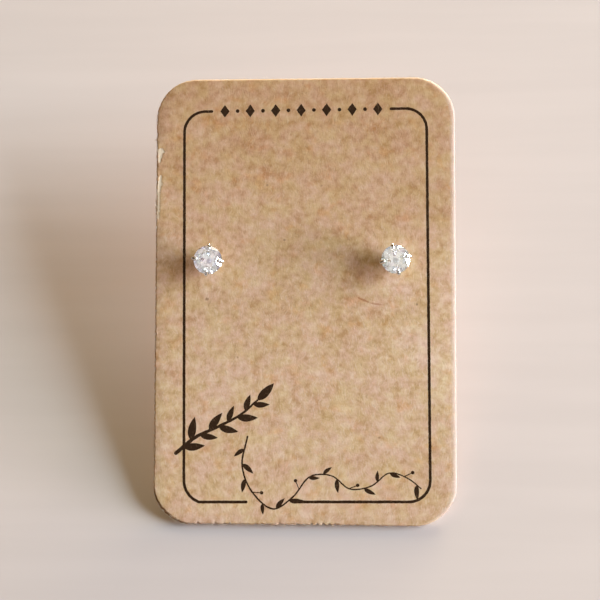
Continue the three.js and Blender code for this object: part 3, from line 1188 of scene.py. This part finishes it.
def railRing():
    share, wire = setting["railShare"], setting["railRadius"]
    ringRadius = clawFootRadius + (clawGripRadius - clawFootRadius) * share
    height = setting["baseHeight"] + (girdleHeight - setting["baseHeight"]) * share
    ringSides, wireSides = setting["railSides"]
    bm = bmesh.new()
    rows = []
    for turn in around(ringSides):
        places = [(ringRadius + wire * math.cos(t), height + wire * math.sin(t)) for t in around(wireSides)]
        cos, sin = math.cos(turn), math.sin(turn)
        rows.append([bm.verts.new((reach * cos, reach * sin, z)) for reach, z in places])
    for i, row in enumerate(rows):
        joinRows(bm, row, rows[(i + 1) % ringSides])
    bmesh.ops.recalc_face_normals(bm, faces=bm.faces)
    return bm


def makeSettingMesh():
    values = {
        "Claw count": setting["clawCount"],
        "Claw radius": setting["clawRadius"],
        "Claw sides": setting["clawSides"],
        "Material": metalMaterial,
    }
    claws = runTree(polyline("claws", clawPath()), clawRingTree(), values)
    metal = newObject("metal", meshOf(turned(postProfile(), setting["postSides"]), "metal"), [metalMaterial])
    combine(metal, railRing(), "UNION")
    combine(metal, claws.data, "UNION")
    bpy.data.objects.remove(claws)
    seat = cutBrilliant(stone["radius"] + setting["stoneGap"], setting["seatSides"])
    combine(metal, seat, "DIFFERENCE", Matrix.Translation((0, 0, girdleHeight)))
    return meshAlone(metal, 38)


settingMesh = makeSettingMesh()
print("Setting made:", len(settingMesh.polygons), "faces")


# The butterfly clutch, one strip of sheet whose ends are curled in to grip the post
clutch = {
    "sheet": 0.25,
    "curlRadius": 1.0,
    "curlSweep": 300.0,
    "plateWidth": 4.4,
    "waist": 3.0,
    "grip": 0.05,
    "edgeRounding": 0.06,
    "flatSteps": 14,
    "curlSteps": 54,
    "acrossSteps": 10,
    "collarRadius": 0.68,
    "collarHeight": 0.1,
    "collarSides": 40,
    "countersink": (0.07, 0.05),  # below and above
    "drillTop": 0.55,
}
curlCentre = setting["postRadius"] + clutch["grip"] + clutch["sheet"] / 2 + clutch["curlRadius"]
clutchReach = curlCentre + clutch["curlRadius"] + clutch["sheet"] / 2


# Half of the strip's width at a place across it: wide at the wings, narrow at the waist and at the ends
def clutchHalfWidth(x):
    wing, waist = clutch["plateWidth"] / 2, clutch["waist"] / 2
    share = min(1.0, abs(x) / clutchReach)
    if share < 0.5:
        t = share + 0.5
        return wing * ((1 - t) ** 2 + t**2) + 2 * t * (1 - t) * (clutch["waist"] - wing)
    t = 1 - math.sqrt(2 * (1 - share))
    return wing * (1 - t * t) + waist * t * t


def clutchSection(offset):
    half, steps = clutch["sheet"] / 2, clutch["flatSteps"]
    side = [(curlCentre * i / steps, half - offset) for i in range(1, steps + 1)]
    radius = clutch["curlRadius"] + offset
    for i in range(1, clutch["curlSteps"] + 1):
        turn = math.radians(clutch["curlSweep"]) * i / clutch["curlSteps"]
        z = half + clutch["curlRadius"] - radius * math.cos(turn)
        side.append((curlCentre + radius * math.sin(turn), z))
    return [*[(-x, z) for x, z in reversed(side)], (0.0, half - offset), *side]


def clutchStrip():
    bm = bmesh.new()
    steps = clutch["acrossSteps"]
    skins = []
    for offset in (clutch["sheet"] / 2, -clutch["sheet"] / 2):
        rows = []
        for x, z in clutchSection(offset):
            shares = [2 * k / steps - 1 for k in range(steps + 1)]
            rows.append([bm.verts.new((x, clutchHalfWidth(x) * share, z)) for share in shares])
        skins.append(rows)
        for a, b in zip(rows, rows[1:]):
            for k in range(steps):
                bm.faces.new((a[k], a[k + 1], b[k + 1], b[k]))
    outer, inner = skins
    for k in (0, -1):
        for i in range(len(outer) - 1):
            bm.faces.new((outer[i][k], outer[i + 1][k], inner[i + 1][k], inner[i][k]))
    for i in (0, -1):
        for k in range(steps):
            bm.faces.new((outer[i][k], outer[i][k + 1], inner[i][k + 1], inner[i][k]))
    bmesh.ops.recalc_face_normals(bm, faces=bm.faces)
    return bm


def makeClutchMesh():
    strip = newObject("strip", meshOf(clutchStrip(), "strip"), [clutchMaterial])
    sheet, radius, sides = clutch["sheet"], clutch["collarRadius"], clutch["collarSides"]
    high, edge = sheet + clutch["collarHeight"], clutch["collarHeight"] * 0.6
    collar = [(0, sheet * 0.6), (radius, sheet * 0.6), (radius, sheet)]
    collar += [*roundedCorner((radius - edge, high - edge), edge, 0, 90, 4), (0, high)]
    combine(strip, turned(collar, sides), "UNION")
    bore = setting["postRadius"] + clutch["grip"]
    below, above = clutch["countersink"]
    drill = [(0, -1), (bore + below, -1), (bore + below, 0.0), (bore, below), (bore, high - above)]
    drill += [(bore + above, high + 0.01), (bore + above, clutch["drillTop"]), (0, clutch["drillTop"])]
    combine(strip, turned(drill, sides), "DIFFERENCE")
    bevel = strip.modifiers.new("edges", "BEVEL")
    bevel.width = clutch["edgeRounding"]
    bevel.segments = 3
    bevel.limit_method = "ANGLE"
    bevel.angle_limit = math.radians(50)
    return meshAlone(flattened(strip), 40)


clutchMesh = makeClutchMesh()
print("Clutch made:", len(clutchMesh.polygons), "faces")


# Loose paper hairs: scattered over the card's skin, more of them where the attribute is high
hairs = {
    "perSquareMm": 40.0,
    "length": 0.46,
    "radius": 0.011,
    "seed": 5,
    "arch": (0.8, 0.7),  # of its middle and its end, in half lengths
    "lean": 0.5,
    "shortest": 0.25,
    "lowest": 0.02,  # above what the card stands on
    "colours": ((0.42, 0.28, 0.16), (0.92, 0.82, 0.68)),
    "colourNoise": (1.7, 2.0),
    "roughness": 0.8,
    "gloss": 0.3,
}


def hairTree():
    sockets = {"Density": "Float", "Hair length": "Float", "Hair radius": "Float", "Seed": "Int"}
    tree, given = addTree("paperHairs", sockets)
    edge = geoNode(tree, "InputNamedAttribute", {"Name": "fray"}, {"data_type": "FLOAT"})
    density = times(tree, edge, given["Density"])
    inputs = {"Mesh": given["Geometry"], "Density": density, "Seed": given["Seed"]}
    settings = {"distribute_method": "RANDOM"}
    scatter = addNode(tree, "GeometryNodeDistributePointsOnFaces", settings, inputs).outputs
    half = times(tree, given["Hair length"], 0.5)
    archMiddle, archEnd = [times(tree, half, arch) for arch in hairs["arch"]]
    inputs = {"Resolution": 4, "Start": (0, 0, 0), "Middle": vectorOf(tree, half, z=archMiddle)}
    inputs["End"] = vectorOf(tree, given["Hair length"], z=archEnd)
    curve = geoNode(tree, "CurveQuadraticBezier", inputs)
    circle = geoNode(tree, "CurvePrimitiveCircle", {"Resolution": 3, "Radius": given["Hair radius"]})
    hair = geoNode(tree, "CurveToMesh", {"Curve": curve, "Profile Curve": circle, "Fill Caps": True})

    def draw(low, high, seed):
        inputs = {2: low, 3: high, 8: seed}
        return addNode(tree, "FunctionNodeRandomValue", {"data_type": "FLOAT"}, inputs).outputs[1]

    lean = draw(-hairs["lean"], hairs["lean"], 4)
    euler = vectorOf(tree, lean, lean, draw(0.0, 2 * math.pi, 3))
    local = addNode(tree, "FunctionNodeEulerToRotation", None, {0: euler}).outputs[0]
    inputs = {"Rotation": scatter["Rotation"], "Rotate By": local}
    rotation = addNode(tree, "FunctionNodeRotateRotation", {"rotation_space": "LOCAL"}, inputs).outputs[0]
    inputs = {"Points": scatter["Points"], "Instance": hair, "Rotation": rotation}
    inputs["Scale"] = draw(hairs["shortest"], 1.0, 6)
    real = geoNode(tree, "RealizeInstances", {0: geoNode(tree, "InstanceOnPoints", inputs)})
    # no hair reaches below what the card stands on
    xyz = addNode(tree, "ShaderNodeSeparateXYZ", None, {0: geoNode(tree, "InputPosition")}).outputs
    lifted = vectorOf(tree, xyz[0], xyz[1], calc(tree, "MAXIMUM", xyz[2], hairs["lowest"] * mm))
    return endTree(tree, geoNode(tree, "SetPosition", {"Geometry": real, "Position": lifted}), given)


def makeHairMaterial():
    sockets = {"Roughness": hairs["roughness"], "Specular IOR Level": hairs["gloss"]}
    material, tree, shader = newMaterial("paperFibre", sockets)
    cloud = noiseOf(tree, cardCoords(tree), *hairs["colourNoise"])
    tree.links.new(mixColours(tree, cloud, *hairs["colours"]), shader.inputs["Base Color"])
    return material


def makeHairs():
    values = {
        "Density": hairs["perSquareMm"] / mm**2,
        "Hair length": hairs["length"] * mm,
        "Hair radius": hairs["radius"] * mm,
        "Seed": hairs["seed"],
        "Material": makeHairMaterial(),
    }
    return runTree(newObject("card_fibres", cardPiece.data.copy(), []), hairTree(), values)


hairPiece = makeHairs()
print("Paper hairs made:", len(hairPiece.data.polygons), "faces")


# Every piece rides on the one body, and most stand for a solid
def hand(piece, slot, *nodes):
    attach(piece, "root")
    if nodes:
        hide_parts(*nodes)


hand(cardPiece, "card", "card")
hand(hairPiece, "card")
for stud in studs:
    side = stud["side"]
    metal = newObject(side + "_claws_and_post", settingMesh.copy(), [metalMaterial])
    metal.data.transform(headFrame(stud))
    hand(metal, "setting_metal", side + "_setting")
    hand(makeStone(stud), "stone", side + "_stone")
    back = newObject(side + "_butterfly", clutchMesh.copy(), [clutchMaterial])
    back.data.transform(clutchFrame(stud))
    hand(back, "clutch_metal", side + "_clutch")
print("Pieces placed")


# The floor and the light
stage = {
    "floorSize": 4.0,  # metres
    "floorColour": (0.630, 0.577, 0.578),
    "floorGrain": (1.0, 3.0, 0.5),
    "grainScale": (18, 240, 1),
    "grainSpread": (0.3, 0.7),
    "grainShade": 0.965,
    "floorRoughness": 0.75,
    "floorGloss": 0.2,
    # each light: azimuth from +X towards +Y, elevation, half angles wide and high, radiance, colour and
    # what it lights
    "lights": {
        "mainWindow": (9.4, 27.2, 18.6, 8.7, 18.6, (0.86, 1.02, 1.09), "all"),
        "lowWindow": (-4.5, 6.5, 17, 4.2, 72.0, (0.80, 0.94, 1.08), "all"),
        "backWindow": (68, 13, 14, 3.2, 44.0, (1.0, 0.83, 0.50), "all"),
        "skyBehind": (88, 25, 34, 6.5, 4.4, (0.94, 0.83, 0.60), "all"),
        "warmWall": (9, 10, 38, 8, 6.6, (1.0, 0.30, 0.07), "paper"),
        "whiteCard": (-87, 69, 49, 49, 0.385, (0.92, 1.0, 1.09), "studs"),
        "coolSpot": (-122, 60, 17, 14, 0.24, (0.86, 0.96, 1.04), "studs"),
        "paleSpot": (-35, 74, 14, 17, 0.24, (1.0, 0.98, 0.92), "studs"),
    },
    "lightDistance": 1.6,  # metres
    "aboveFrom": (-87, 69),
    "aboveSpread": (0.80, 0.95),
    "above": (0.29, 0.22, 0.13),
    "room": (0.11, 0.065, 0.02),
    "backdrop": (0.78, 0.72, 0.68),
}


def towards(azimuth, elevation):
    flat = math.cos(math.radians(elevation))
    turn = math.radians(azimuth)
    return Vector((flat * math.cos(turn), flat * math.sin(turn), math.sin(math.radians(elevation))))


def makeFloor():
    sockets = {"Roughness": stage["floorRoughness"], "Specular IOR Level": stage["floorGloss"]}
    material, tree, shader = newMaterial("paleFloor", sockets)
    coords = addNode(tree, "ShaderNodeTexCoord").outputs["Object"]
    drawn = mapped(tree, coords, scale=stage["grainScale"])
    grain = spread(tree, noiseOf(tree, drawn, *stage["floorGrain"]), *stage["grainSpread"])
    deep = [value * stage["grainShade"] for value in stage["floorColour"]]
    tree.links.new(mixColours(tree, grain, deep, stage["floorColour"]), shader.inputs["Base Color"])
    half = stage["floorSize"] / 2
    mesh = bpy.data.meshes.new("floor")
    corners = [(-half, -half, 0), (half, -half, 0), (half, half, 0), (-half, half, 0)]
    mesh.from_pydata(corners, [], [(0, 1, 2, 3)])
    newObject("floor", mesh, [material])


def addLight(name, azimuth, elevation, halfWide, halfHigh, radiance, colour, lit):
    reach = stage["lightDistance"]
    data = bpy.data.lights.new(name, "AREA")
    data.shape = "RECTANGLE"
    data.size = 2 * reach * math.tan(math.radians(halfWide))
    data.size_y = 2 * reach * math.tan(math.radians(halfHigh))
    data.energy = radiance * math.pi * data.size * data.size_y
    data.color = colour
    item = bpy.data.objects.new(name, data)
    bpy.context.scene.collection.objects.link(item)
    item.location = towards(azimuth, elevation) * reach
    item.rotation_euler = towards(azimuth, elevation).to_track_quat("Z", "Y").to_euler()
    item.visible_camera = False
    if lit != "all":
        pieces = bpy.data.collections.new(name + "Lit")
        for piece in bpy.data.objects:
            if piece.type == "MESH" and piece.name.startswith(("left_", "right_")) == (lit == "studs"):
                pieces.objects.link(piece)
        item.light_linking.receiver_collection = pieces


# The room is dim and paler overhead; the backdrop that the camera sees is even
def addRoom():
    world = bpy.data.worlds.new("room")
    world.use_nodes = True
    tree = world.node_tree
    coords = addNode(tree, "ShaderNodeTexCoord").outputs["Generated"]
    facing = vectorCalc(tree, "DOT_PRODUCT", coords, towards(*stage["aboveFrom"]))
    colour = mixColours(tree, spread(tree, facing, *stage["aboveSpread"]), stage["room"], stage["above"])
    seen = addNode(tree, "ShaderNodeLightPath").outputs["Is Camera Ray"]
    colour = mixColours(tree, seen, colour, stage["backdrop"])
    tree.links.new(colour, tree.nodes["Background"].inputs["Color"])
    bpy.context.scene.world = world


makeFloor()
for name, values in stage["lights"].items():
    addLight(name, *values)
addRoom()
scene = bpy.context.scene
scene.view_settings.view_transform = "Standard"
scene.cycles.max_bounces = 16
scene.cycles.glossy_bounces = 12
scene.cycles.transmission_bounces = 14
print("Floor and light made")
